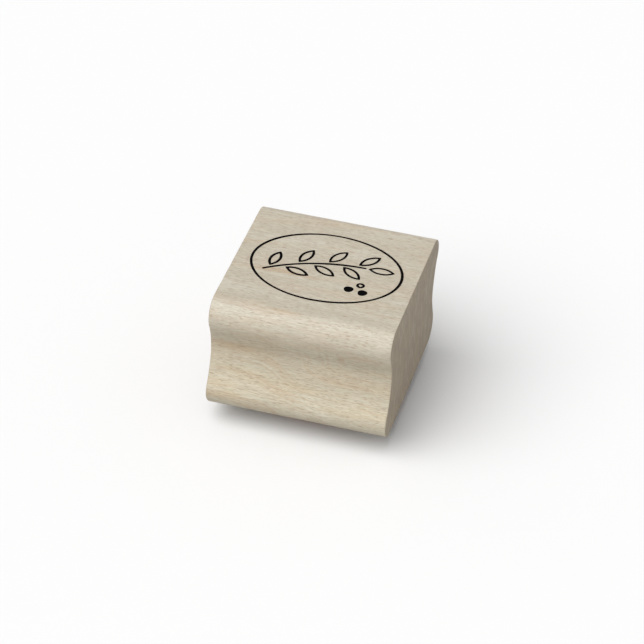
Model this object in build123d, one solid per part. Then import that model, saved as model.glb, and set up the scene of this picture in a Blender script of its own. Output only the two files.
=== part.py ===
from build123d import *

import os
from math import asin, cos, radians, sin, sqrt

# Wood-mounted rubber stamp for paper crafts.
#
# A moulded maple block with a finger cove along its front and back carries an inked index print on top.
# Underneath, from the block down, come an adhesive film, a thin foam cushion, a second adhesive film and
# the engraved rubber die, whose raised lines repeat the index print and touch the paper.
#
# Millimetres. +X runs along the moulding and the wood's grain, -Y is the front, +Z is up.
# The origin is at the centre of the printing face, which is the plane z = 0.

# Block: its length is cut from a moulding whose two long sides share one profile.
BLOCK_LENGTH = 38.1
BLOCK_HEIGHT = 26.0
TOP_FLAT_HALF = 16.5        # half the depth of the flat top
TOP_ROUND = 3.8             # radius of the bullnose along the top edges
WAIST_HALF = 17.7           # half the depth at the narrowest point of the finger cove
WAIST_HEIGHT = 13.25        # height of that point above the block's underside
BASE_ROUND = 4.0            # radius along the bottom edges
END_EASE = 0.35             # sanded radius round the two sawn ends

# Layers under the block, from the paper up.
RELIEF_DEPTH = 0.8          # engraved depth, printing face to floor
RUBBER_FLOOR = 1.2          # rubber left behind the engraving
FILM = 0.1                  # each double-sided adhesive film
FOAM = 1.6                  # cushion

FLOOR_Z = RELIEF_DEPTH
DIE_TOP_Z = FLOOR_Z + RUBBER_FLOOR
FOAM_Z = DIE_TOP_Z + FILM
FOAM_TOP_Z = FOAM_Z + FOAM
BLOCK_Z = FOAM_TOP_Z + FILM
BLOCK_TOP_Z = BLOCK_Z + BLOCK_HEIGHT

# Picture: an oval line round a leafy sprig, as printed on top and engraved below.
LINE = 0.55                 # width of every printed line
OVAL_HALF_X = 16.0          # outside of the oval line
OVAL_HALF_Y = 12.2
STEM_RADIUS = 33.0
STEM_CENTRE = (7.6, -30.6)
STEM_START = 127.0          # degrees round the stem's circle, left end
STEM_END = 90.0             # right end, its tip
LEAVES = 7                  # along the stem, and one more at its tip
LEAF_LENGTH = 5.6
LEAF_WIDTH = 2.5
LEAF_GAP = 0.35             # bare strip between the stem line and a leaf
LEAF_ANGLE = 46.0           # between the stem and a leaf
BERRY_RADIUS = 1.0
BERRIES = ((6.2, -5.9), (9.2, -6.3))
BUD_RADIUS = 0.9
BUD = (8.2, -3.9)
INK = 0.05                  # thickness of the printed ink film

# Rubber and cushion are trimmed together, a little outside the oval.
TRIM = 0.7
SHOULDER = 0.25             # how much wider each side of a raised line is at the engraved floor


def moulding_profile():
    """The block's cross-section in Y and Z: flat top and base, joined by three tangent arcs on each side."""
    top_y, top_z = TOP_FLAT_HALF, BLOCK_HEIGHT - TOP_ROUND
    rise = top_z - WAIST_HEIGHT
    lean = WAIST_HALF - TOP_FLAT_HALF
    cove_radius = (lean**2 + rise**2 - TOP_ROUND**2) / (2 * (TOP_ROUND - lean))
    cove_y = WAIST_HALF + cove_radius
    fall = WAIST_HEIGHT - BASE_ROUND
    base_y = cove_y - sqrt((cove_radius + BASE_ROUND) ** 2 - fall**2)
    upper = asin(rise / (cove_radius + TOP_ROUND))
    lower = asin(fall / (cove_radius + BASE_ROUND))

    def on_arc(y, z, radius, angle):
        return (y + radius * cos(angle), z + radius * sin(angle))

    base_end = (base_y, 0)
    base_join = on_arc(base_y, BASE_ROUND, BASE_ROUND, lower)
    base_middle = on_arc(base_y, BASE_ROUND, BASE_ROUND, (lower - radians(90)) / 2)
    top_join = on_arc(top_y, top_z, TOP_ROUND, -upper)
    top_middle = on_arc(top_y, top_z, TOP_ROUND, (radians(90) - upper) / 2)
    top_end = (top_y, BLOCK_HEIGHT)

    side = [
        ThreePointArc(base_end, base_middle, base_join),
        ThreePointArc(base_join, (WAIST_HALF, WAIST_HEIGHT), top_join),
        ThreePointArc(top_join, top_middle, top_end),
    ]
    back = Curve() + side
    front = mirror(back, about=Plane.YZ)
    base = Line((-base_y, 0), base_end)
    top = Line((-top_y, BLOCK_HEIGHT), top_end)
    return make_face(Curve() + [back, front, base, top])


def wood_block():
    """Maple moulding cut to length, with both ends eased."""
    start = Plane(origin=(-BLOCK_LENGTH / 2, 0, BLOCK_Z), x_dir=(0, 1, 0), z_dir=(1, 0, 0))
    block = extrude(start * moulding_profile(), BLOCK_LENGTH)
    ends = block.faces().sort_by(Axis.X)
    return fillet(ends[0].edges() + ends[-1].edges(), END_EASE)


def oval(grow, z):
    """An oval face at height z, larger than the printed oval by grow all round."""
    return Plane.XY.offset(z) * Ellipse(OVAL_HALF_X + grow, OVAL_HALF_Y + grow)


def layer(z, thickness):
    """A sheet of the trimmed outline, z to z + thickness."""
    return extrude(oval(TRIM, z), thickness)


def on_stem(angle, off=0.0):
    """A point beside the stem: angle degrees round its circle, off millimetres outside it."""
    a = radians(angle)
    reach = STEM_RADIUS + off
    return (STEM_CENTRE[0] + reach * cos(a), STEM_CENTRE[1] + reach * sin(a))


def stem_mark(width, z):
    """The stem line as a face."""
    middle = (STEM_START + STEM_END) / 2
    path = ThreePointArc(on_stem(STEM_START), on_stem(middle), on_stem(STEM_END))
    return Plane.XY.offset(z) * SlotArc(path, width)


def leaf_places():
    """Where each leaf's middle lies and which way it points: up and down the stem by turns, then the tip."""
    step = (STEM_START - STEM_END) / LEAVES
    out = LINE / 2 + LEAF_GAP
    places = []
    for n in range(LEAVES):
        angle = STEM_START - (n + 0.5) * step
        side = 1 if n % 2 == 0 else -1
        root = Location((*on_stem(angle, side * out), 0), (0, 0, angle - 90 + side * LEAF_ANGLE))
        places.append(root * Pos(LEAF_LENGTH / 2, 0))
    tip = Location((*on_stem(STEM_END), 0), (0, 0, STEM_END - 90))
    return places + [tip * Pos(out + LEAF_LENGTH / 2, 0)]


def leaf_marks(grow, z):
    """Leaf faces at height z, each the overlap of two discs, larger than the drawn leaf by grow all round."""
    half_length, half_width = LEAF_LENGTH / 2, LEAF_WIDTH / 2
    edge_radius = (half_length**2 + half_width**2) / (2 * half_width)
    tip = sqrt((edge_radius + grow) ** 2 - (edge_radius - half_width) ** 2)
    belly = half_width + grow
    upper = ThreePointArc((-tip, 0), (0, belly), (tip, 0))
    lower = ThreePointArc((tip, 0), (0, -belly), (-tip, 0))
    leaf = make_face(Curve() + [upper, lower])
    return [Pos(0, 0, z) * place * leaf for place in leaf_places()]


def berry_marks(grow, z):
    """The two filled berries, larger by grow all round."""
    return [Pos(x, y, z) * Circle(BERRY_RADIUS + grow) for x, y in BERRIES]


def bud_marks(grow, z):
    """The bud, drawn as a small ring, larger by grow all round."""
    return [Pos(*BUD, z) * Circle(BUD_RADIUS + grow)]


def oval_marks(grow, z):
    """The oval line's outside, as a list of one face."""
    return [oval(grow, z)]


def ink_ring(outer, inner):
    """Ink film between two faces on the block's top."""
    return extrude(outer, INK) - extrude(inner, INK)


def index_oval_line():
    return ink_ring(oval(0, BLOCK_TOP_Z), oval(-LINE, BLOCK_TOP_Z))


def index_stem():
    return extrude(stem_mark(LINE, BLOCK_TOP_Z), INK)


def index_leaves():
    edges = zip(leaf_marks(0, BLOCK_TOP_Z), leaf_marks(-LINE, BLOCK_TOP_Z))
    return Compound([ink_ring(outer, inner) for outer, inner in edges])


def index_berries():
    bud = ink_ring(*bud_marks(0, BLOCK_TOP_Z), *bud_marks(-LINE, BLOCK_TOP_Z))
    return Compound([extrude(mark, INK) for mark in berry_marks(0, BLOCK_TOP_Z)] + [bud])


def raised(paper_face, floor_face):
    """A raised mark whose printing face is paper_face and whose foot on the rubber floor is floor_face."""
    return loft([paper_face, floor_face])


def raised_ring(marks):
    """Raised outlines of the faces that marks(grow, z) gives, with sloping shoulders inside and out."""
    outside = zip(marks(0, 0), marks(SHOULDER, FLOOR_Z))
    inside = zip(marks(-LINE, 0), marks(-LINE - SHOULDER, FLOOR_Z))
    return [raised(*outer) - raised(*inner) for outer, inner in zip(outside, inside)]


def rubber_die():
    """Engraved rubber: a floor sheet with the picture standing out of it, down to the printing face."""
    die = layer(FLOOR_Z, RUBBER_FLOOR)
    stem = raised(stem_mark(LINE, 0), stem_mark(LINE + 2 * SHOULDER, FLOOR_Z))
    berries = [raised(*faces) for faces in zip(berry_marks(0, 0), berry_marks(SHOULDER, FLOOR_Z))]
    outlines = raised_ring(oval_marks) + raised_ring(leaf_marks) + raised_ring(bud_marks)
    for mark in [stem] + berries + outlines:
        die += mark
    return die


PARTS = {
    "wood_block": wood_block(),
    "index_oval_line": index_oval_line(),
    "index_stem": index_stem(),
    "index_leaves": index_leaves(),
    "index_berries": index_berries(),
    "block_adhesive": layer(FOAM_TOP_Z, FILM),
    "foam_cushion": layer(FOAM_Z, FOAM),
    "die_adhesive": layer(DIE_TOP_Z, FILM),
    "rubber_die": rubber_die(),
}

os.makedirs("parts", exist_ok=True)
for name, shape in PARTS.items():
    export_step(shape, f"parts/{name}.step")
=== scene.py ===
from math import asin, cos, pi, radians, sin, sqrt

import bmesh
import bpy
import numpy as np
from mathutils import Matrix, Vector


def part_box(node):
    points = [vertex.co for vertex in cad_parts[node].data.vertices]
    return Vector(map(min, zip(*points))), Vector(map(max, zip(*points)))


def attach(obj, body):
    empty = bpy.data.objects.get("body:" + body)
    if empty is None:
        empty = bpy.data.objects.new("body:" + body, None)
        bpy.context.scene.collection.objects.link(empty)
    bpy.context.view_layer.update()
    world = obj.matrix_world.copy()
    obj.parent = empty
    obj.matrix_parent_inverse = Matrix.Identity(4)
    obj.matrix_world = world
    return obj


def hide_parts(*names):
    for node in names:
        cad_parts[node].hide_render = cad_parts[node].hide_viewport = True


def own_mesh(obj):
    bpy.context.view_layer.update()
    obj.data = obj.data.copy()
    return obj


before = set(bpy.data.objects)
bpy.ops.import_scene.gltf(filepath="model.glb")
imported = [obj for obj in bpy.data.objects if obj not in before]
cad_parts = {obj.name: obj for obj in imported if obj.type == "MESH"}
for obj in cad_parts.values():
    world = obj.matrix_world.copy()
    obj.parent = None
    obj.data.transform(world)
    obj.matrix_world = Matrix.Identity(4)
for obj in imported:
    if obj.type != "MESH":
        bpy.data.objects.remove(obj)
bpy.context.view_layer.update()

# A wood-mounted rubber stamp, built from the wood down. Metres, in the frame's own axes: +X along the
# moulding and its grain, -Y the front, +Z up, with the printing face on z = 0.


# ---------------------------------------------------------------------------------------------- camera
# A long lens looks down on the stamp from the front, a little from its right-hand end, and leans by
# three degrees. The lens is aimed close to the middle of the wooden block.
MM = 0.001
AZIMUTH, ELEVATION, LEAN = radians(13.38), radians(35.42), radians(3.32)
CAMERA_DISTANCE = 644.5 * MM
LENS, SENSOR = 174.0, 36.0
AIM_RIGHT, AIM_UP = -0.34 * MM, -0.49 * MM

block_low, block_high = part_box("wood_block")
block_middle = (block_low + block_high) / 2

back = Vector((sin(AZIMUTH) * cos(ELEVATION), -cos(AZIMUTH) * cos(ELEVATION), sin(ELEVATION)))
level_right = Vector((0, 0, 1)).cross(back).normalized()
level_up = back.cross(level_right)
right = level_right * cos(LEAN) + level_up * sin(LEAN)
up = level_up * cos(LEAN) - level_right * sin(LEAN)

camera_data = bpy.data.cameras.new("camera")
camera_data.sensor_width = SENSOR
camera_data.lens = LENS
camera_data.clip_start = 0.01
camera = bpy.data.objects.new("camera", camera_data)
turn = Matrix((right, up, back)).transposed().to_4x4()
aim = block_middle + right * AIM_RIGHT + up * AIM_UP
camera.matrix_world = Matrix.Translation(aim + back * CAMERA_DISTANCE) @ turn
bpy.context.scene.collection.objects.link(camera)
bpy.context.scene.camera = camera


# ------------------------------------------------------------------------------------- floor and lights
# A white table under a pale studio sky. One broad lamp stands high on the left and in front, so that the
# rounded front edge is brightest and the right-hand end stays in soft shade.
class Value:
    """A shader socket that takes part in sums: each operator adds one Math node and gives its result."""

    def __init__(self, shade, socket):
        self.shade, self.socket = shade, socket

    def sum(self, operation, *terms):
        return self.shade.node("ShaderNodeMath", {"operation": operation}, dict(enumerate(terms)))

    def __add__(self, other):
        return self.sum("ADD", self, other)

    def __sub__(self, other):
        return self.sum("SUBTRACT", self, other)

    def __rsub__(self, other):
        return self.sum("SUBTRACT", other, self)

    def __mul__(self, other):
        return self.sum("MULTIPLY", self, other)

    def __abs__(self):
        return self.sum("ABSOLUTE", self)

    __radd__, __rmul__ = __add__, __mul__


class Shade:
    """The nodes of a material or world under construction. Every node comes from node()."""

    def __init__(self, owner):
        owner.use_nodes = True
        self.owner, self.tree = owner, owner.node_tree
        self.tree.nodes.clear()

    def node(self, kind, settings=None, inputs=None, output=None):
        """Adds a node: its settings first, then the values or links of its sockets, by name or number.
        Gives one of its outputs, the first live one if none is named."""
        made = self.tree.nodes.new(kind)
        for name, value in (settings or {}).items():
            setattr(made, name, value)
        for name, value in (inputs or {}).items():
            live = [s for s in made.inputs if s.enabled]
            socket = live[name] if isinstance(name, int) else next(s for s in live if s.name == name)
            if isinstance(value, Value):
                self.tree.links.new(value.socket, socket)
            else:
                socket.default_value = value
        outputs = [s for s in made.outputs if s.enabled]
        return Value(self, next((s for s in outputs if s.name == output), outputs[0]) if outputs else None)

    def place(self):
        """The point on the piece, in millimetres."""
        point = self.node("ShaderNodeTexCoord", output="Object")
        return self.node("ShaderNodeVectorMath", {"operation": "SCALE"}, {"Vector": point, "Scale": 1 / MM})

    def split(self, vector):
        """The three parts of a vector or colour."""
        made = self.node("ShaderNodeSeparateXYZ", {}, {"Vector": vector})
        return [Value(self, s) for s in made.socket.node.outputs]

    def stretch(self, vector, per_mm):
        """The vector with each part multiplied by its own number of features per millimetre."""
        return self.node("ShaderNodeVectorMath", {"operation": "MULTIPLY"}, {0: vector, 1: per_mm})

    def bend(self, vector, per_mm, reach):
        """The vector moved about softly and at random, each part by up to its own reach."""
        inputs = {"Vector": self.stretch(vector, per_mm), "Scale": 1.0, "Detail": 1.0}
        wobble = self.node("ShaderNodeTexNoise", {}, inputs, "Color")
        settings = {"operation": "MULTIPLY_ADD"}
        return self.node("ShaderNodeVectorMath", settings, {0: wobble, 1: reach, 2: vector})

    def noise(self, vector, detail=2.0, roughness=0.5):
        """Soft random variation, from 0 to 1 about a middle of 0.5, one feature per unit of vector."""
        inputs = {"Vector": vector, "Scale": 1.0, "Detail": detail, "Roughness": roughness}
        return self.node("ShaderNodeTexNoise", {}, inputs)

    def spots(self, vector, radius):
        """Small scattered balls, about one to each unit cube of vector: 0 between them, and inside each
        a strength of its own from 0 to 1."""
        inputs = {"Vector": vector, "Scale": 1.0}
        distance = self.node("ShaderNodeTexVoronoi", {"feature": "F1"}, inputs, "Distance")
        strength = self.split(Value(self, distance.socket.node.outputs["Color"]))[0]
        return self.step(distance, radius, 0.4 * radius) * strength

    def step(self, value, low, high):
        """0 on low's side of the values, 1 past high, and a smooth change between. low may be the larger,
        and then small values give 1."""
        settings = {"interpolation_type": "SMOOTHSTEP"}
        return self.node("ShaderNodeMapRange", settings, {"Value": value, "From Min": low, "From Max": high})

    def mix(self, factor, first, second, blend="MIX"):
        """The first colour where factor is 0 and the second, or their blend, where it is 1."""
        settings = {"data_type": "RGBA", "blend_type": blend}
        return self.node("ShaderNodeMix", settings, {"Factor": factor, "A": first, "B": second})

    def layers(self, colour, *tints):
        """A colour with tints laid over it in turn, each given as its own mask and colour."""
        for mask, tint in tints:
            colour = self.mix(mask, colour, tint)
        return colour

    def bump(self, height_mm, strength=1.0):
        """A normal bent by a height given in millimetres."""
        return self.node("ShaderNodeBump", {}, {"Height": height_mm, "Distance": MM, "Strength": strength})

    def finish(self, **inputs):
        """The Principled shader, with underlines in the names standing for spaces."""
        named = {name.replace("_", " "): value for name, value in inputs.items()}
        surface = self.node("ShaderNodeBsdfPrincipled", {}, named)
        self.node("ShaderNodeOutputMaterial", {}, {"Surface": surface})
        return self.owner


TABLE_SIZE, TABLE_WHITE = 8.0, 0.74
WALL_LIGHT, SKY_LIGHT = 1.0, 0.52
WALL_FADE, WALL_TOP = 0.06, 0.10    # sines of the angles above the table where the wall fades and ends
LAMP_FROM = Vector((-0.36, -0.46, 0.80))
LAMP_LIGHT, LAMP_WIDTH = 3.15, radians(64.0)


def table_top():
    """White table: dead matt and plain."""
    shade = Shade(bpy.data.materials.new("table_top"))
    return shade.finish(Base_Color=(TABLE_WHITE, TABLE_WHITE, TABLE_WHITE, 1), Roughness=0.85,
                        Specular_IOR_Level=0.1)


half_table = TABLE_SIZE / 2
table_corners = [(x * half_table, y * half_table, 0) for x, y in ((-1, -1), (1, -1), (1, 1), (-1, 1))]
table_mesh = bpy.data.meshes.new("table")
table_mesh.from_pydata(table_corners, [], [(0, 1, 2, 3)])
table_mesh.materials.append(table_top())
table = bpy.data.objects.new("table", table_mesh)
bpy.context.scene.collection.objects.link(table)

lamp_data = bpy.data.lights.new("lamp", "SUN")
lamp_data.energy, lamp_data.angle = LAMP_LIGHT, LAMP_WIDTH
lamp = bpy.data.objects.new("lamp", lamp_data)
lamp.matrix_world = LAMP_FROM.to_track_quat("Z", "Y").to_matrix().to_4x4()
bpy.context.scene.collection.objects.link(lamp)

studio = Shade(bpy.data.worlds.new("studio"))
rise = studio.split(studio.node("ShaderNodeTexCoord", output="Generated"))[2]
strength = WALL_LIGHT + (SKY_LIGHT - WALL_LIGHT) * studio.step(rise, WALL_FADE, WALL_TOP)
light = studio.node("ShaderNodeBackground", {}, {"Color": (1.0, 1.0, 1.0, 1), "Strength": strength})
studio.node("ShaderNodeOutputWorld", {}, {"Surface": light})
bpy.context.scene.world = studio.owner
bpy.context.scene.view_settings.view_transform = "Standard"


# ------------------------------------------------------------------------------------------- wood block
# The mount: bare maple moulding with a rounded top edge, a finger cove and a flared base on both long
# sides. It is planed by a shaped cutter, sawn off square and sanded, which eases the sawn edges a little.
BLOCK_LENGTH = block_high.x - block_low.x
BLOCK_HEIGHT = block_high.z - block_low.z
TOP_FLAT_HALF, TOP_ROUND = 16.5 * MM, 3.8 * MM
WAIST_HALF, WAIST_HEIGHT = 17.7 * MM, 13.25 * MM
BASE_ROUND = 4.0 * MM
EASE = 0.27 * MM                # mean radius of a sanded end edge
EASE_WAVE, EASE_VARIES = 9 * MM, 0.25   # how often and by what share the sander's pressure varies
CUTTER_PITCH, CUTTER_DEPTH = 1.3 * MM, 0.004 * MM
PROFILE_STEP = 0.30 * MM        # between points round the profile
LENGTH_ROWS, EASE_ROWS, END_ROWS = 100, 7, 22
YEAR_WIDTH = 1.7                # millimetres from one growth layer to the next
SIDES_BELOW, TOP_ABOVE = 20.0, 27.0    # millimetres above the paper: below the first, the sides get a painted warm bounce tint and stronger growth lines; above the second, the top gets neither
UNDER_ROUND_SHADE_HEIGHT, UNDER_ROUND_SHADE_REACH = 20.6, 3.4     # millimetres: middle and half height of a band of painted shade under the top round
FOOT_SHADE_START, FOOT_SHADE_FULL = 9.0, 4.8      # millimetres: painted shade darkens the foot from the first height down to the second


def waves(places, pitch, seed, count=5):
    """Smooth random variation from about -1 to 1 along places: a sum of sine waves whose lengths lie
    round pitch, with phases drawn from the seed."""
    draw = np.random.default_rng(seed)
    lengths = pitch * draw.uniform(0.6, 1.8, count)
    phases = draw.uniform(0, 2 * pi, count)
    return np.sin(2 * pi * places[..., None] / lengths + phases).sum(-1) / sqrt(count)


def surface(name, grids, material, wrap_rows=False):
    """A piece of one or more closed grids of points, each rows x columns x 3. Each row is a loop. The
    first and last rows join each other if wrap_rows, or else have shrunk to a point or line, where the
    merging of doubles closes them."""
    faces, start = [], 0
    for grid in grids:
        rows, columns = grid.shape[:2]
        number = start + np.arange(rows * columns).reshape(rows, columns)
        above = np.roll(number, -1, axis=0)
        beside = np.roll(number, -1, axis=1)
        quads = np.stack([number, beside, np.roll(above, -1, axis=1), above], axis=-1)
        faces.append((quads if wrap_rows else quads[:-1]).reshape(-1, 4))
        start += rows * columns
    mesh = bpy.data.meshes.new(name)
    points = np.concatenate([grid.reshape(-1, 3) for grid in grids])
    mesh.from_pydata(points.tolist(), [], np.concatenate(faces).tolist())
    built = bmesh.new()
    built.from_mesh(mesh)
    bmesh.ops.remove_doubles(built, verts=built.verts, dist=1e-7)
    bmesh.ops.dissolve_degenerate(built, edges=built.edges, dist=1e-8)
    bmesh.ops.recalc_face_normals(built, faces=built.faces)
    built.to_mesh(mesh)
    built.free()
    mesh.shade_smooth()
    mesh.materials.append(material)
    piece = bpy.data.objects.new(name, mesh)
    bpy.context.scene.collection.objects.link(piece)
    return piece


def arc(centre, radius, start, end, facing=1):
    """Points and outward normals along an arc in Y and Z: the centre plus radius times the cosine and
    sine of an angle that runs from start to end. facing is -1 where the wood is outside the circle."""
    angles = np.linspace(start, end, max(3, round(radius * abs(end - start) / PROFILE_STEP)))[:-1]
    spokes = np.stack([np.cos(angles), np.sin(angles)], axis=-1)
    return np.array(centre) + radius * spokes, facing * spokes


def flat(start, end, normal):
    """Points and normals along a straight stretch in Y and Z, the last point left off."""
    start, end = np.array(start), np.array(end)
    count = max(3, round(np.linalg.norm(end - start) / PROFILE_STEP))
    along = np.linspace(0, 1, count)[:-1, None]
    return start + (end - start) * along, np.tile(normal, (count - 1, 1))


def moulding():
    """The closed profile and its outward normals. On each side three arcs touch without a corner: the
    top round, the cove and the base round. The cove's radius and the base round's place follow from that."""
    top_z = BLOCK_HEIGHT - TOP_ROUND
    rise, lean = top_z - WAIST_HEIGHT, WAIST_HALF - TOP_FLAT_HALF
    cove = (lean**2 + rise**2 - TOP_ROUND**2) / (2 * (TOP_ROUND - lean))
    cove_y, fall = WAIST_HALF + cove, WAIST_HEIGHT - BASE_ROUND
    base_y = cove_y - sqrt((cove + BASE_ROUND) ** 2 - fall**2)
    upper, lower = asin(rise / (cove + TOP_ROUND)), asin(fall / (cove + BASE_ROUND))
    side = [
        flat((0, 0), (base_y, 0), (0, -1)),
        arc((base_y, BASE_ROUND), BASE_ROUND, -pi / 2, lower),
        arc((cove_y, WAIST_HEIGHT), cove, pi + lower, pi - upper, facing=-1),
        arc((TOP_FLAT_HALF, top_z), TOP_ROUND, -upper, pi / 2),
        flat((TOP_FLAT_HALF, BLOCK_HEIGHT), (0, BLOCK_HEIGHT), (0, 1)),
    ]
    points, normals = (np.concatenate(parts) for parts in zip(*side))
    flip = np.array([-1, 1])
    top = np.array([[0, BLOCK_HEIGHT]]), np.array([[0, 1]])
    points = np.concatenate([points, top[0], points[:0:-1] * flip])
    normals = np.concatenate([normals, top[1], normals[:0:-1] * flip])
    return points, normals


def block_grid():
    """Rows run from the middle of one sawn end to the middle of the other. A row of the end face is the
    profile shrunk towards its centre, a row of the eased edge is the profile drawn in along its normals
    by a quarter circle, and a row of the length is the profile itself, less the cutter's ripple."""
    points, normals = moulding()
    walk = np.cumsum(np.linalg.norm(points - np.roll(points, 1, axis=0), axis=1))
    half = BLOCK_LENGTH / 2
    centre = np.array([0, BLOCK_HEIGHT / 2])

    def end(side, seed):
        ease = EASE * (1 + EASE_VARIES * waves(walk, EASE_WAVE, seed))[:, None]
        inner = points - normals * ease
        shrink = np.linspace(0, 1, END_ROWS)[:-1, None, None]
        face = centre + (inner - centre) * shrink
        face_x = np.full(face.shape[:2], half)
        quarter = np.linspace(0, pi / 2, EASE_ROWS)[:, None, None]
        edge = points - normals * ease * (1 - np.sin(quarter))
        edge_x = (half - ease * (1 - np.cos(quarter)))[..., 0]
        yz = np.concatenate([face, edge])
        x = side * np.concatenate([face_x, edge_x])
        return np.concatenate([x[..., None], yz], axis=-1)

    left, right_end = end(-1, 11), end(1, 12)[::-1]
    across = np.linspace(0, 1, LENGTH_ROWS + 2)[1:-1, None, None]
    length = left[-1] * (1 - across) + right_end[0] * across
    ripple = CUTTER_DEPTH * (0.5 - 0.5 * np.cos(2 * pi * length[..., :1] / CUTTER_PITCH))
    fade = np.sin(pi * across) ** 0.3
    length[..., 1:] -= normals * ripple * fade
    grid = np.concatenate([left, length, right_end])
    grid[..., 2] += block_low.z
    return grid


def maple():
    """Bare sanded maple as a solid, so that every cut shows the right figure. Growth layers stand nearly
    upright along X and wander slowly. Rays, pores and fibres are drawn out along X, so that they are
    dashes on the long faces and dots on the sawn ends. The ends soak up dirt and look darker."""
    shade = Shade(bpy.data.materials.new("maple"))
    point = shade.place()
    x, y, z = shade.split(point)

    # growth layers: a distance across the grain, bent by a slow wander and a quicker ruffle
    wander = shade.noise(shade.stretch(point, (0.030, 0.06, 0.06)), detail=1.0)
    ruffle = shade.noise(shade.stretch(point, (0.10, 0.18, 0.18)), detail=2.0)
    across = 0.07 * x + y + 0.45 * z + 8.0 * wander + 1.6 * ruffle
    layer = {"X": 0.01 * x, "Y": across * (1 / YEAR_WIDTH), "Z": 0.02 * z}
    season = shade.noise(shade.node("ShaderNodeCombineXYZ", {}, layer), detail=3.0, roughness=0.65)
    late = shade.step(abs(season - 0.52), 0.036, 0.0)

    # fibres as long streaks and short grit, rays and pores as dashes, and broad patches of colour
    streak = shade.noise(shade.stretch(point, (0.085, 1.9, 1.9)), detail=3.0, roughness=0.6)
    grit = shade.noise(shade.stretch(point, (0.40, 4.4, 4.4)), detail=3.0, roughness=0.7)
    bent = shade.bend(point, (0.12, 0.20, 0.20), (0.0, 1.6, 1.6))
    fine = shade.noise(shade.stretch(bent, (0.16, 7.0, 7.0)), detail=2.0, roughness=0.6)
    ray = shade.spots(shade.stretch(bent, (0.50, 4.1, 4.1)), 0.38)
    pore = shade.spots(shade.stretch(bent, (0.70, 6.0, 6.0)), 0.42)
    thread = shade.spots(shade.stretch(bent, (0.018, 0.19, 0.12)), 0.20)
    patch = shade.noise(shade.stretch(point, (0.07, 0.20, 0.20)), detail=2.0)
    stain = shade.noise(shade.stretch(point, (0.055, 0.34, 0.34)), detail=2.0)
    # 1 on the sides below the top round, where painted warm bounce light goes, and 0 on the top
    low_sides = shade.step(z, TOP_ABOVE, SIDES_BELOW)

    side = shade.layers(
        shade.mix(shade.step(season, 0.35, 0.68), (0.485, 0.450, 0.368, 1), (0.445, 0.405, 0.325, 1)),
        (shade.step(patch, 0.50, 0.66) * 0.45, (0.480, 0.400, 0.310, 1)),       # rosy patches
        (shade.step(patch, 0.46, 0.34) * 0.42, (0.535, 0.500, 0.425, 1)),       # silvery patches
        (shade.step(stain, 0.50, 0.66) * 0.42, (0.480, 0.405, 0.285, 1)),       # golden stains
        (shade.step(streak, 0.50, 0.68) * 0.24, (0.395, 0.318, 0.238, 1)),      # brown streaks
        (shade.step(streak, 0.48, 0.30) * 0.18, (0.545, 0.510, 0.430, 1)),      # pale streaks
        (late * (0.17 + 0.20 * low_sides), (0.400, 0.270, 0.170, 1)),             # edges of the growth layers
        (shade.step(grit, 0.42, 0.70) * 0.42, (0.315, 0.262, 0.195, 1)),        # dark fibres
        (shade.step(grit, 0.52, 0.30) * 0.38, (0.560, 0.525, 0.440, 1)),        # pale fibres
        (thread * 0.55, (0.385, 0.262, 0.160, 1)),                              # a few long brown threads
        (shade.step(fine, 0.44, 0.66) * 0.26, (0.325, 0.272, 0.205, 1)),        # hair lines
        (ray * 0.76, (0.270, 0.192, 0.126, 1)),
        (pore * 0.60, (0.225, 0.168, 0.112, 1)),
    )
    # painted light: a warm tint of bounced light on the sides, kept off the top and the crest of its round
    side = shade.mix(low_sides, side, (0.995, 0.985, 0.930, 1), "MULTIPLY")
    # painted shade: the foot and a band under the top round, where the wood turns down and away from the
    # light, are darkened
    foot = shade.step(z, FOOT_SHADE_START, FOOT_SHADE_FULL)
    under_round_shade = shade.step(abs(z - UNDER_ROUND_SHADE_HEIGHT), UNDER_ROUND_SHADE_REACH, 0.0)
    side = shade.mix(foot + under_round_shade, side, (0.81, 0.80, 0.785, 1), "MULTIPLY")

    # end grain: the same layers cut across, pores as dots, a few brown threads, and fine saw marks
    saw = shade.noise(shade.stretch(point, (0.2, 1.9, 0.22)), detail=4.0, roughness=0.7)
    blotch = shade.noise(shade.stretch(point, (0.2, 0.62, 0.34)), detail=3.0, roughness=0.65)
    damp = shade.noise(shade.stretch(point, (0.1, 0.11, 0.08)), detail=2.0)
    end = shade.layers(
        shade.mix(shade.step(season, 0.25, 0.78), (0.374, 0.320, 0.236, 1), (0.330, 0.279, 0.202, 1)),
        (shade.step(damp, 0.40, 0.62) * 0.50, (0.345, 0.268, 0.182, 1)),        # brown where it was damp
        (shade.step(blotch, 0.42, 0.62) * 0.46, (0.242, 0.202, 0.154, 1)),      # grey blotches
        (shade.step(saw, 0.40, 0.60) * 0.46, (0.212, 0.172, 0.122, 1)),         # dust in the saw marks
        (late * 0.22, (0.270, 0.195, 0.130, 1)),
        (pore * 0.70, (0.150, 0.115, 0.080, 1)),
        (thread * 0.80 * shade.step(blotch, 0.30, 0.60), (0.215, 0.130, 0.070, 1)),
    )
    half_mm = BLOCK_LENGTH / 2 / MM
    sawn = shade.step(abs(x), half_mm - 0.22, half_mm - 0.03)
    colour = shade.mix(sawn, side, end)

    height = grit * 0.012 + fine * 0.008 - pore * 0.018 - ray * 0.006 + sawn * saw * 0.030
    return shade.finish(
        Base_Color=colour,
        Roughness=0.42 + 0.20 * grit + 0.22 * sawn,
        Normal=shade.bump(height, 0.8),
        Specular_IOR_Level=0.5,
    )


block = surface("maple_block", [block_grid()], maple())
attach(block, "block")
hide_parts("wood_block")


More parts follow.
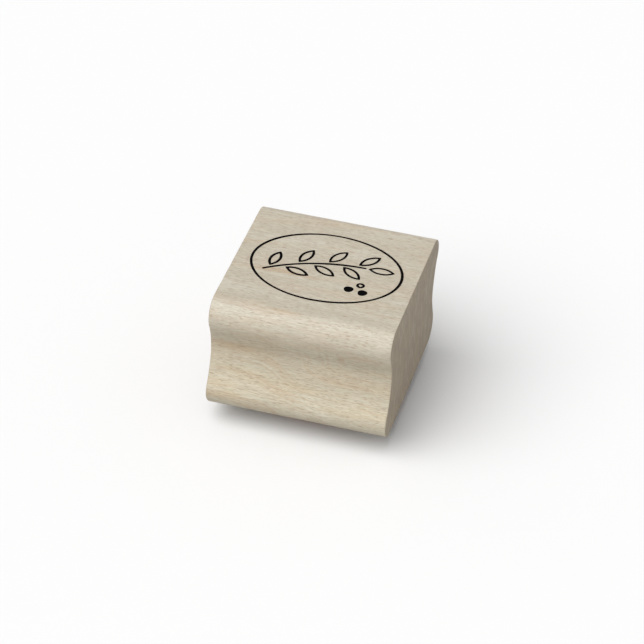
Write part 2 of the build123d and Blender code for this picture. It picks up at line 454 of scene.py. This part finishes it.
# ------------------------------------------------------------------------------------------ index print
# The picture of what the stamp prints, screened on the wood in black ink: an oval line round a leafy
# sprig with two berries and a bud. The lines look drawn by pen, so their widths vary a little.
INK = 0.05 * MM
LINE = 0.55 * MM
OVAL_HALF = np.array([16.0, 12.2]) * MM
STEM_RADIUS, STEM_CENTRE = 33.0 * MM, np.array([7.6, -30.6]) * MM
STEM_START, STEM_END = radians(127.0), radians(90.0)
LEAVES = 7                      # along the stem, and one more at its tip
LEAF_LENGTH, LEAF_WIDTH, LEAF_GAP = 5.6 * MM, 2.5 * MM, 0.35 * MM
LEAF_ANGLE = radians(46.0)      # between the stem and a leaf
BERRY_RADIUS, BERRIES = 1.0 * MM, np.array([[6.2, -5.9], [9.2, -6.3]]) * MM
BUD_RADIUS, BUD = 0.9 * MM, np.array([8.2, -3.9]) * MM
FILM_ROWS, FILM_EDGE = 7, 0.35  # rows across a printed line, and the film's share of height at its edges
PEN, PEN_WAVES = 0.09, 1.7      # how much a line's width varies, as a share, and its three waves' own swing
OVAL_POINTS, BUD_POINTS, BERRY_POINTS, LEAF_POINTS, STEM_POINTS, CAP_POINTS = 720, 72, 64, 48, 120, 12


def print_ink():
    """Black screen-printing ink, a thin film that dries matt and lets the grain show in its sheen."""
    shade = Shade(bpy.data.materials.new("print_ink"))
    point = shade.place()
    grain = shade.noise(shade.stretch(point, (0.5, 4.0, 4.0)), detail=3.0, roughness=0.6)
    colour = shade.mix(shade.step(grain, 0.45, 0.85), (0.0010, 0.0010, 0.0010, 1), (0.006, 0.0055, 0.005, 1))
    return shade.finish(
        Base_Color=colour,
        Roughness=0.55 + 0.3 * grain,
        Normal=shade.bump(grain * 0.010),
        Specular_IOR_Level=0.03,
    )


def film(outer, inner, solid=False):
    """The grid of an ink film between two closed outlines of x and y. Its height across the line is the
    square root of a sine, full in the middle and a third at both edges, where it drops to the wood. A
    solid mark's inner outline has shrunk to a point or line, which is its middle."""
    share = np.linspace(0, 1, FILM_ROWS)
    bulge = np.sqrt(np.sin(share * (pi / 2 if solid else pi)).clip(0))
    height = INK * (FILM_EDGE + (1 - FILM_EDGE) * bulge)
    share = np.concatenate([[1, 0], share] if solid else [[0], share, [1]])[:, None, None]
    height = np.concatenate([[0, 0], height] if solid else [[0], height, [0]])[:, None, None]
    rows = outer * (1 - share) + inner * share
    height = np.broadcast_to(block_high.z + height, rows.shape[:2] + (1,))
    return np.concatenate([rows, height], axis=-1)


def ring(middle, radii, seed, count):
    """Outlines of an elliptical line: points at the radii round the middle, and the same points moved
    inwards along the normal by a width that varies."""
    turn = np.linspace(0, 2 * pi, count, endpoint=False)
    spoke = np.stack([np.cos(turn), np.sin(turn)], axis=-1)
    outward = spoke / radii
    outward /= np.linalg.norm(outward, axis=1)[:, None]
    pen = np.random.default_rng(seed).uniform(0, 2 * pi, 3)
    vary = PEN / PEN_WAVES * sum(np.sin(n * turn + p) for n, p in zip((2, 3, 5), pen))
    outer = middle + spoke * radii
    return outer, outer - outward * (LINE * (1 + vary))[:, None]


def leaf(root, heading, width):
    """Outlines of a leaf, the overlap of two discs, and of the same leaf drawn in by the line's width:
    each half is an arc about a centre beside the leaf, from its root to its tip, or back again."""
    half_length, half_width = LEAF_LENGTH / 2, LEAF_WIDTH / 2
    radius = (half_length**2 + half_width**2) / (2 * half_width)

    def outline(grow):
        reach = np.arccos((radius - half_width) / (radius + grow))
        swing = np.linspace(-reach, reach, LEAF_POINTS, endpoint=False)
        upper = np.stack([np.sin(swing), np.cos(swing)], axis=-1) * (radius + grow)
        upper[:, 1] -= radius - half_width
        return np.concatenate([upper, -upper])

    turned = np.array([[cos(heading), sin(heading)], [-sin(heading), cos(heading)]])
    middle = root + LEAF_LENGTH / 2 * turned[0]
    return middle + outline(0) @ turned, middle + outline(-width) @ turned


def on_stem(angle, off=0.0):
    """Points beside the stem: angle round its circle, off outside it."""
    angle = np.asarray(angle, float)
    spoke = np.stack([np.cos(angle), np.sin(angle)], axis=-1)
    return STEM_CENTRE + (STEM_RADIUS + np.asarray(off, float)[..., None]) * spoke


def stem_outlines():
    """The stem's outline, its circle moved out and in by half a varying width with a round cap at each
    end, and its middle line as the inner outline."""
    angle = np.linspace(STEM_START, STEM_END, STEM_POINTS)
    share = np.linspace(0, 1, STEM_POINTS)
    half = LINE / 2 * (0.92 + 0.16 * np.sin(pi * share) + PEN * np.sin(9 * share + 1.0))
    caps = []
    for n, forwards in ((-1, 1), (0, -1)):
        turn = np.linspace(0, pi, CAP_POINTS)[1:-1, None] - pi / 2
        along = forwards * np.array([sin(angle[n]), -cos(angle[n])])
        aside = forwards * np.array([cos(angle[n]), sin(angle[n])])
        caps.append(on_stem(angle[n]) + half[n] * (np.cos(turn) * along - np.sin(turn) * aside))
    outer = [on_stem(angle, half), caps[0], on_stem(angle, -half)[::-1], caps[1]]
    middle = on_stem(angle)
    tip, foot = (np.tile(point, (CAP_POINTS - 2, 1)) for point in (middle[-1], middle[0]))
    inner = [middle, tip, middle[::-1], foot]
    return np.concatenate(outer), np.concatenate(inner)


def leaves():
    """Leaf grids up and down the stem by turns, starting above it, then the one at the tip."""
    step = (STEM_START - STEM_END) / LEAVES
    out = LINE / 2 + LEAF_GAP
    widths = LINE * np.random.default_rng(5).uniform(1 - PEN, 1 + PEN, LEAVES + 1)
    grids = []
    for n in range(LEAVES):
        angle = STEM_START - (n + 0.5) * step
        side = 1 if n % 2 == 0 else -1
        grids.append(film(*leaf(on_stem(angle, side * out), angle - pi / 2 + side * LEAF_ANGLE, widths[n])))
    tip = on_stem(STEM_END) + out * np.array([sin(STEM_END), -cos(STEM_END)])
    return grids + [film(*leaf(tip, STEM_END - pi / 2, widths[-1]))]


def berries():
    """Grids of the filled berries: a circle, a little uneven, and its middle as the inner outline."""
    turn = np.linspace(0, 2 * pi, BERRY_POINTS, endpoint=False)
    grids = []
    for n, middle in enumerate(BERRIES):
        reach = BERRY_RADIUS * (1 + 0.04 * np.sin(3 * turn + n) + 0.02 * np.sin(2 * turn))
        outer = middle + reach[:, None] * np.stack([np.cos(turn), np.sin(turn)], axis=-1)
        grids.append(film(outer, np.broadcast_to(middle, outer.shape), solid=True))
    return grids


ink = print_ink()
oval_line = film(*ring(np.zeros(2), OVAL_HALF, seed=8, count=OVAL_POINTS))
bud = film(*ring(BUD, np.full(2, BUD_RADIUS), seed=4, count=BUD_POINTS))
for name, node, grids, wrap in (
    ("printed_oval", "index_oval_line", [oval_line], True),
    ("printed_stem", "index_stem", [film(*stem_outlines(), solid=True)], False),
    ("printed_leaves", "index_leaves", leaves(), True),
    ("printed_berries", "index_berries", berries(), False),
    ("printed_bud", "index_berries", [bud], True),
):
    mark = surface(name, grids, ink, wrap)
    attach(mark, "block")
    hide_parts(node)


# --------------------------------------------------------------------------------------- adhesive films
# Two sheets of double-sided film hold the cushion to the wood and the rubber to the cushion. They are cut
# with the rubber, so only their edges show: pale amber, a little glossy, with dust caught on them.
def adhesive():
    """Pale amber film: clear glue on a paper-thin carrier, cloudy where lint sticks to the cut edge."""
    shade = Shade(bpy.data.materials.new("adhesive_film"))
    lint = shade.noise(shade.stretch(shade.place(), (1.6, 1.6, 9.0)), detail=3.0, roughness=0.65)
    cloud = shade.step(lint, 0.48, 0.72)
    colour = shade.mix(cloud, (0.60, 0.52, 0.34, 1), (0.50, 0.47, 0.41, 1))
    return shade.finish(
        Base_Color=colour,
        Roughness=0.28 + 0.45 * cloud,
        Normal=shade.bump(lint * 0.03),
    )


glue = adhesive()
for name in ("block_adhesive", "die_adhesive"):
    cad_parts[name].data.materials.clear()
    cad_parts[name].data.materials.append(glue)


# ----------------------------------------------------------------------------------------- foam cushion
# A pad of fine grey foam that lets the die follow uneven paper. It is punched out with the rubber, so its
# cut side pulls in a little between the glued faces and shows broken cells.
foam_low, foam_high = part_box("foam_cushion")
FOAM_EDGE = 0.06 * MM           # radius of the cut edges
FOAM_PULL = 0.09 * MM           # how far the cut side pulls in half way up
FOAM_PIT = 0.035 * MM           # depth of the broken cells
FOAM_WOBBLE = 0.02 * MM         # how far the outline wanders
FOAM_COLUMNS, FOAM_SIDE_ROWS, FOAM_FACE_ROWS = 840, 17, 5


def foam_grid():
    """Rows run from the middle of the underside out to the edge, up the side and back to the middle of
    the top. The outline is an ellipse with a slow wobble, less a half-sine pull, a quarter-round at both
    edges and, at random points of the side, the pits of broken cells."""
    draw = np.random.default_rng(21)
    turn = np.linspace(0, 2 * pi, FOAM_COLUMNS, endpoint=False)
    spoke = np.stack([np.cos(turn), np.sin(turn)], axis=-1)
    radii = np.array([foam_high.x, foam_high.y])
    wobble = FOAM_WOBBLE * (np.sin(5 * turn + 1) + np.sin(9 * turn) - 2)
    up = np.linspace(0, 1, FOAM_SIDE_ROWS)[:, None]
    height = foam_high.z - foam_low.z
    near = (np.minimum(up, 1 - up) * height / FOAM_EDGE).clip(0, 1)
    pit = draw.random((FOAM_SIDE_ROWS, FOAM_COLUMNS)) ** 3
    pit = FOAM_PIT * (pit + np.roll(pit, 1, axis=1)) * near
    inset = wobble - FOAM_PULL * np.sin(pi * up) - FOAM_EDGE * (1 - np.sqrt(near * (2 - near))) - pit
    side = spoke * (radii + inset[..., None])
    side_z = np.broadcast_to(foam_low.z + up * height, inset.shape)
    shrink = np.linspace(0, 1, FOAM_FACE_ROWS)[:-1, None, None]
    under, top = side[0] * shrink, side[-1] * shrink[::-1]
    xy = np.concatenate([under, side, top])
    under_z, top_z = np.full(under.shape[:2], foam_low.z), np.full(top.shape[:2], foam_high.z)
    z = np.concatenate([under_z, side_z, top_z])
    return np.concatenate([xy, z[..., None]], axis=-1)


def foam():
    """Fine closed-cell foam: pale grey, each cell a touch lighter or darker, matt and pitted."""
    shade = Shade(bpy.data.materials.new("cushion_foam"))
    point = shade.place()
    cell = shade.node("ShaderNodeTexVoronoi", {}, {"Vector": shade.stretch(point, (6, 6, 6)), "Scale": 1.0})
    cloud = shade.noise(shade.stretch(point, (0.4, 0.4, 0.8)), detail=3.0)
    colour = shade.mix(shade.step(cell, 0.10, 0.75), (0.330, 0.335, 0.335, 1), (0.215, 0.220, 0.222, 1))
    colour = shade.mix(shade.step(cloud, 0.45, 0.70) * 0.4, colour, (0.300, 0.290, 0.270, 1))
    return shade.finish(
        Base_Color=colour,
        Roughness=0.82 + 0.12 * cell,
        Normal=shade.bump(cell * -0.05),
        Specular_IOR_Level=0.25,
    )


cushion = surface("foam_pad", [foam_grid()], foam())
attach(cushion, "block")
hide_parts("foam_cushion")
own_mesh(cushion)


# ------------------------------------------------------------------------------------------- rubber die
# The printing plate: brick-red rubber burnt away by a laser round the picture, which stands 0.8 mm proud.
# The printing faces keep the rubber's moulded skin, and the burnt floor shows the laser's passes.
RASTER_PITCH = 0.13             # millimetres from one laser pass to the next


def die_rubber():
    """Engraved rubber: satin skin on the printing faces at z = 0, dusty dark red on the slopes and the
    floor, with ridges along X one raster pitch apart, and upright marks on the cut side."""
    shade = Shade(bpy.data.materials.new("die_rubber"))
    point = shade.place()
    _, y, z = shade.split(point)
    burnt = shade.step(z, 0.01, 0.06)
    floor_depth = shade.step(z, 0.55, 0.80) * shade.step(z, 0.88, 0.81)
    side = shade.step(z, 0.84, 0.95)
    mottle = shade.noise(shade.stretch(point, (0.5, 0.5, 0.5)), detail=4.0, roughness=0.6)
    dust = shade.noise(shade.stretch(point, (5.0, 5.0, 5.0)), detail=3.0, roughness=0.7)
    skin = shade.mix(shade.step(mottle, 0.35, 0.70), (0.430, 0.098, 0.062, 1), (0.370, 0.078, 0.050, 1))
    char = shade.mix(shade.step(dust, 0.40, 0.75), (0.300, 0.075, 0.052, 1), (0.420, 0.165, 0.125, 1))
    colour = shade.mix(burnt * 0.85, skin, char)
    wavy = y + 0.02 * shade.noise(shade.stretch(point, (0.6, 0.6, 0.6)), detail=1.0)
    raster = shade.node("ShaderNodeMath", {"operation": "SINE"}, {0: wavy * (2 * pi / RASTER_PITCH)})
    upright = shade.noise(shade.stretch(point, (3.2, 3.2, 0.25)), detail=3.0, roughness=0.6)
    height = raster * floor_depth * 0.012 + dust * burnt * 0.03 + upright * side * 0.05
    return shade.finish(
        Base_Color=colour,
        Roughness=0.46 + 0.06 * mottle + burnt * 0.32,
        Normal=shade.bump(height),
        Specular_IOR_Level=0.4,
    )


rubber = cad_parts["rubber_die"]
rubber.data.materials.clear()
rubber.data.materials.append(die_rubber())
